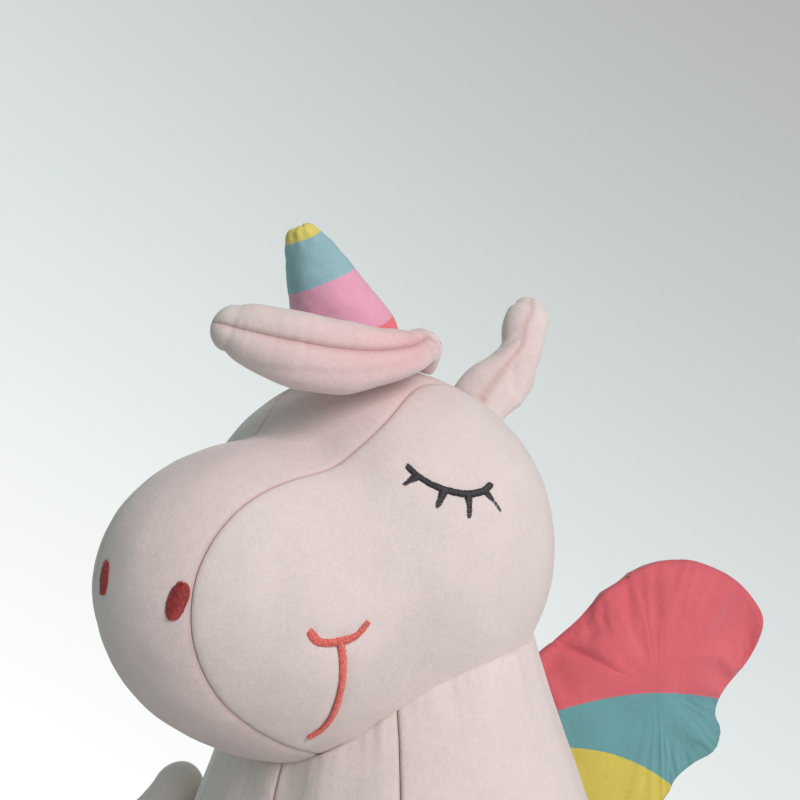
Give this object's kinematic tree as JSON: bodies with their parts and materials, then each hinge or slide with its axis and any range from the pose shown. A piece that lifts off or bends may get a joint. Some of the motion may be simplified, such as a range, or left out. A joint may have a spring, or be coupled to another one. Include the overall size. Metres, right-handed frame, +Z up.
{
  "type": "plush toy unicorn",
  "caption": "Seated plush unicorn with a tilted round head, sleepy stitched eyes, a striped stuffed horn, floppy ears, small striped wings and hoofed limbs.",
  "frame": {"origin": "middle of the flat seat, where the toy stands", "axes": "+Z up, the body faces -Y, +X is the unicorn's own left"},
  "size_m": [0.3336, 0.435, 0.3974],
  "materials": {
    "pale_plush": "matte",
    "pink_plush": "matte",
    "rainbow_plush": "matte",
    "coral_plush": "matte",
    "black_thread": "satin",
    "coral_thread": "satin",
    "red_thread": "satin",
    "filling": "matte"
  },
  "bodies": {
    "torso": {"torso_stuffing": "filling", "seat_panel": "pale_plush", "belly_left": "pale_plush", "belly_right": "pale_plush", "back_left": "pale_plush", "back_right": "pale_plush"},
    "neck": {"neck_stuffing": "filling"},
    "head": {"head_stuffing": "filling", "head_gusset": "pink_plush", "head_side_left": "pale_plush", "head_side_right": "pale_plush", "eye_left": "black_thread", "eye_right": "black_thread", "mouth_left": "coral_thread", "mouth_right": "coral_thread", "nostril_left": "red_thread", "nostril_right": "red_thread", "horn_cover": "rainbow_plush", "horn_stuffing": "filling"},
    "tail": {"tail_cover": "rainbow_plush", "tail_stuffing": "filling"},
    "ear_left": {"ear_left_front": "pink_plush", "ear_left_back": "pale_plush", "ear_left_padding": "filling"},
    "wing_left": {"wing_left_front": "rainbow_plush", "wing_left_back": "rainbow_plush", "wing_left_padding": "filling"},
    "arm_left": {"arm_left_sleeve": "pale_plush", "arm_left_hoof": "coral_plush", "arm_left_sole": "coral_plush", "arm_left_stuffing": "filling"},
    "leg_left": {"leg_left_sleeve": "pale_plush", "leg_left_hoof": "coral_plush", "leg_left_sole": "coral_plush", "leg_left_stuffing": "filling"},
    "ear_right": {"ear_right_front": "pink_plush", "ear_right_back": "pale_plush", "ear_right_padding": "filling"},
    "wing_right": {"wing_right_front": "rainbow_plush", "wing_right_back": "rainbow_plush", "wing_right_padding": "filling"},
    "arm_right": {"arm_right_sleeve": "pale_plush", "arm_right_hoof": "coral_plush", "arm_right_sole": "coral_plush", "arm_right_stuffing": "filling"},
    "leg_right": {"leg_right_sleeve": "pale_plush", "leg_right_hoof": "coral_plush", "leg_right_sole": "coral_plush", "leg_right_stuffing": "filling"}
  },
  "joints": [
    {"name": "neck_turn", "type": "hinge", "parent": "torso", "child": "neck", "pos_m": [0, -0.008, 0.258], "axis": [0, 0, 1], "range_deg": [-12, 12], "stiffness_Nm_per_rad": 2},
    {"name": "head_nod", "type": "hinge", "parent": "neck", "child": "head", "pos_m": [0, -0.008, 0.258], "axis": [1, 0, 0], "range_deg": [-8, 5], "stiffness_Nm_per_rad": 14},
    {"name": "ear_left_bend", "type": "hinge", "parent": "head", "child": "ear_left", "pos_m": [0.0459, 0.0205, 0.3251], "axis": [1, 0, 0], "range_deg": [-8, 6], "stiffness_Nm_per_rad": 0.6},
    {"name": "ear_right_bend", "type": "hinge", "parent": "head", "child": "ear_right", "pos_m": [0.0275, -0.0102, 0.3438], "axis": [0.6, 0.8, 0], "range_deg": [-2, 4], "stiffness_Nm_per_rad": 0.6},
    {"name": "wing_left_flap", "type": "hinge", "parent": "torso", "child": "wing_left", "pos_m": [0.0245, 0.0965, 0.155], "axis": [0, 0, 1], "range_deg": [-14, 22], "stiffness_Nm_per_rad": 0.8},
    {"name": "wing_right_flap", "type": "hinge", "parent": "torso", "child": "wing_right", "pos_m": [-0.0245, 0.0965, 0.155], "axis": [0, 0, 1], "range_deg": [-22, 14], "stiffness_Nm_per_rad": 0.8},
    {"name": "arm_left_swing", "type": "hinge", "parent": "torso", "child": "arm_left", "pos_m": [0.097, -0.042, 0.138], "axis": [1, 0, 0], "range_deg": [-25, 15], "stiffness_Nm_per_rad": 1.2},
    {"name": "arm_right_swing", "type": "hinge", "parent": "torso", "child": "arm_right", "pos_m": [-0.097, -0.042, 0.138], "axis": [1, 0, 0], "range_deg": [-25, 15], "stiffness_Nm_per_rad": 1.2},
    {"name": "leg_left_lift", "type": "hinge", "parent": "torso", "child": "leg_left", "pos_m": [0.066, -0.114, 0.0384], "axis": [1, 0, 0], "range_deg": [-25, 0], "stiffness_Nm_per_rad": 1.5},
    {"name": "leg_right_lift", "type": "hinge", "parent": "torso", "child": "leg_right", "pos_m": [-0.066, -0.114, 0.0384], "axis": [1, 0, 0], "range_deg": [-25, 0], "stiffness_Nm_per_rad": 1.5},
    {"name": "tail_swing", "type": "hinge", "parent": "torso", "child": "tail", "pos_m": [0, 0.109, 0.052], "axis": [0, 0, 1], "range_deg": [-20, 20], "stiffness_Nm_per_rad": 0.4}
  ]
}
